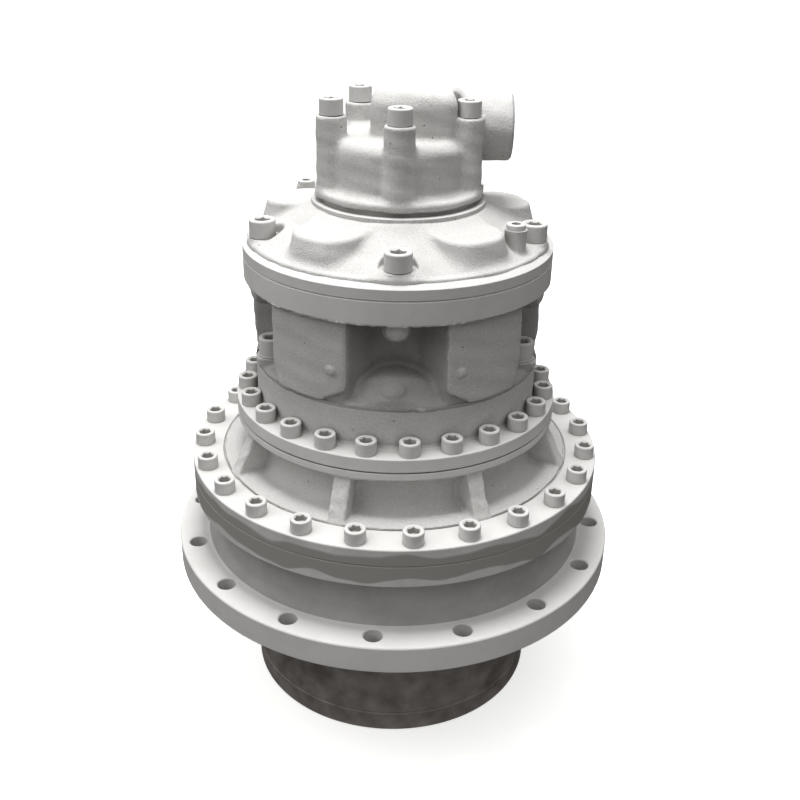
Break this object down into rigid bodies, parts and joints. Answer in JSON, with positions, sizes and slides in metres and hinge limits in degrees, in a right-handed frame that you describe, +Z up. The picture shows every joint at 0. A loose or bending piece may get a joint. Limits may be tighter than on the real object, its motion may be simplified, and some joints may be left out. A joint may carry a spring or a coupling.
{
  "type": "gear motor",
  "caption": "Vertical flange-mounted hydraulic gear motor: radial piston motor with oil distributor on a two-stage planetary gearbox with splined hollow output shaft",
  "frame": {"origin": "centre of the underside of the end ring, on the plane that the unit stands on", "axes": "+Z up along the shaft axis towards the oil distributor; the picture looks along +Y; the upper oil port faces +X"},
  "size_m": [0.5629, 0.563, 0.765],
  "materials": {
    "primer": "matt light warm-grey primer over cast and machined iron",
    "dark_primer": "matt light warm-grey primer on the mounting flange, bare oiled iron on the spigot",
    "steel": "machined and ground",
    "bearing_steel": "hardened and ground bright",
    "bronze": "machined bearing bronze",
    "seal_rubber": "moulded black nitrile rubber"
  },
  "bodies": {
    "casing": {"output_housing": "dark_primer", "end_ring": "dark_primer", "end_ring_screws": "steel", "output_seal": "seal_rubber", "main_bearing_outer_races": "bearing_steel", "output_ring_gear": "steel", "gear_case": "primer", "case_bolts": "primer", "input_ring_gear": "steel", "motor_adapter": "primer", "adapter_bolts": "primer", "motor_housing": "primer", "mount_bolts": "primer", "mount_washers": "primer", "motor_cover": "primer", "cover_bolts": "primer", "drain_plugs": "primer", "distributor_housing": "primer", "distributor_bolts": "primer", "swing_cylinders": "steel", "pistons": "bearing_steel", "crank_bearing_outer_races": "bearing_steel", "shaft_seal": "seal_rubber", "joint_seals": "seal_rubber", "oil_plugs": "steel"},
    "output": {"output_shaft": "steel", "output_pins": "bearing_steel", "output_bushes": "bronze", "output_thrust_washers": "bronze", "main_bearing_inner_races": "bearing_steel", "bearing_spacer": "steel", "lock_nut": "steel"},
    "output_planet_1": {"output_planet_1": "steel"},
    "output_planet_2": {"output_planet_2": "steel"},
    "output_planet_3": {"output_planet_3": "steel"},
    "output_planet_4": {"output_planet_4": "steel"},
    "main_rollers": {"main_bearing_rollers": "bearing_steel"},
    "carrier": {"input_carrier": "steel", "input_pins": "bearing_steel", "input_bushes": "bronze", "input_thrust_washer": "bronze", "output_sun": "steel"},
    "input_planet_1": {"input_planet_1": "steel"},
    "input_planet_2": {"input_planet_2": "steel"},
    "input_planet_3": {"input_planet_3": "steel"},
    "crank": {"crankshaft": "steel", "eccentric_bush": "bronze", "crank_bearing_inner_races": "bearing_steel", "rotary_valve": "bearing_steel", "valve_drive": "steel", "coupling_sleeve": "steel", "input_sun": "steel"},
    "crank_rollers": {"crank_bearing_rollers": "bearing_steel"}
  },
  "joints": [
    {"name": "output_turn", "type": "hinge", "parent": "casing", "child": "output", "pos_m": [0, 0, 0.1], "axis": [0, 0, 1], "continuous": true},
    {"name": "output_planet_1_turn", "type": "hinge", "parent": "output", "child": "output_planet_1", "pos_m": [0, -0.12, 0.253], "axis": [0, 0, 1], "continuous": true},
    {"name": "output_planet_2_turn", "type": "hinge", "parent": "output", "child": "output_planet_2", "pos_m": [0.12, 0, 0.253], "axis": [0, 0, 1], "continuous": true},
    {"name": "output_planet_3_turn", "type": "hinge", "parent": "output", "child": "output_planet_3", "pos_m": [0, 0.12, 0.253], "axis": [0, 0, 1], "continuous": true},
    {"name": "output_planet_4_turn", "type": "hinge", "parent": "output", "child": "output_planet_4", "pos_m": [-0.12, 0, 0.253], "axis": [0, 0, 1], "continuous": true},
    {"name": "main_rollers_turn", "type": "hinge", "parent": "casing", "child": "main_rollers", "pos_m": [0, 0, 0.105], "axis": [0, 0, 1], "continuous": true},
    {"name": "carrier_turn", "type": "hinge", "parent": "casing", "child": "carrier", "pos_m": [0, 0, 0.31], "axis": [0, 0, 1], "continuous": true},
    {"name": "input_planet_1_turn", "type": "hinge", "parent": "carrier", "child": "input_planet_1", "pos_m": [0, -0.09, 0.344], "axis": [0, 0, 1], "continuous": true},
    {"name": "input_planet_2_turn", "type": "hinge", "parent": "carrier", "child": "input_planet_2", "pos_m": [0.07794, 0.045, 0.344], "axis": [0, 0, 1], "continuous": true},
    {"name": "input_planet_3_turn", "type": "hinge", "parent": "carrier", "child": "input_planet_3", "pos_m": [-0.07794, 0.045, 0.344], "axis": [0, 0, 1], "continuous": true},
    {"name": "crank_turn", "type": "hinge", "parent": "casing", "child": "crank", "pos_m": [0, 0, 0.5], "axis": [0, 0, 1], "continuous": true},
    {"name": "crank_rollers_turn", "type": "hinge", "parent": "casing", "child": "crank_rollers", "pos_m": [0, 0, 0.53], "axis": [0, 0, 1], "continuous": true}
  ],
  "couplings": [
    {"joint": "output_planet_1_turn", "follows": "output_turn", "ratio": -3},
    {"joint": "output_planet_2_turn", "follows": "output_turn", "ratio": -3},
    {"joint": "output_planet_3_turn", "follows": "output_turn", "ratio": -3},
    {"joint": "output_planet_4_turn", "follows": "output_turn", "ratio": -3},
    {"joint": "main_rollers_turn", "follows": "output_turn", "ratio": 0.46071},
    {"joint": "carrier_turn", "follows": "output_turn", "ratio": 4},
    {"joint": "input_planet_1_turn", "follows": "output_turn", "ratio": -11.2},
    {"joint": "input_planet_2_turn", "follows": "output_turn", "ratio": -11.2},
    {"joint": "input_planet_3_turn", "follows": "output_turn", "ratio": -11.2},
    {"joint": "crank_turn", "follows": "output_turn", "ratio": 18},
    {"joint": "crank_rollers_turn", "follows": "output_turn", "ratio": 8.0426}
  ]
}
